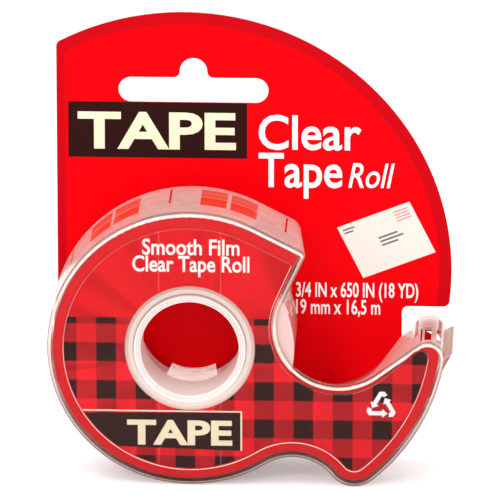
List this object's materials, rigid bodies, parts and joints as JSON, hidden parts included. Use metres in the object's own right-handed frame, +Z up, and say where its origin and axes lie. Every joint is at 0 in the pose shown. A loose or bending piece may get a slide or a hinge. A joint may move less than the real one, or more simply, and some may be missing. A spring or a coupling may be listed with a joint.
{
  "type": "tape dispenser",
  "caption": "Hand-held clear snail-shaped tape dispenser with a roll on a snap hub, toothed cutter and printed hang card.",
  "frame": {"origin": "centre of the object's box in X and Y, at the level it stands on (bottom of the round rim and of the arm's lobe)", "axes": "+Z up, +X from the roll towards the cutter, -Y out of the printed face, +Y towards the back of the hang card"},
  "size_m": [0.0946, 0.0222, 0.1088],
  "materials": {
    "clear_plastic": "clear polished moulding",
    "cutter_steel": "thin stamped strip",
    "core_plastic": "milky translucent moulding",
    "tape_film": "wound clear film",
    "label_print": "printed film with a red check",
    "card_board": "coated and printed on the front, plain grey-white at the back",
    "glue": "hot-melt dabs"
  },
  "bodies": {
    "case": {"dispenser_body": "clear_plastic", "cutter_blade": "cutter_steel", "face_label": "label_print", "hang_card": "card_board", "card_glue_spots": "glue"},
    "roll": {"roll_core": "core_plastic", "tape_roll": "tape_film", "tape_end_tab": "tape_film"},
    "latch": {"core_latch": "clear_plastic"}
  },
  "joints": [
    {"name": "roll_spin", "type": "hinge", "parent": "case", "child": "roll", "pos_m": [-0.014, 0, 0.0333], "axis": [0, 1, 0], "continuous": true},
    {"name": "latch_flex", "type": "hinge", "parent": "case", "child": "latch", "pos_m": [-0.014, 0.00055, 0.02352], "axis": [1, 0, 0], "range_deg": [0, 6], "stiffness_Nm_per_rad": 0.3}
  ]
}
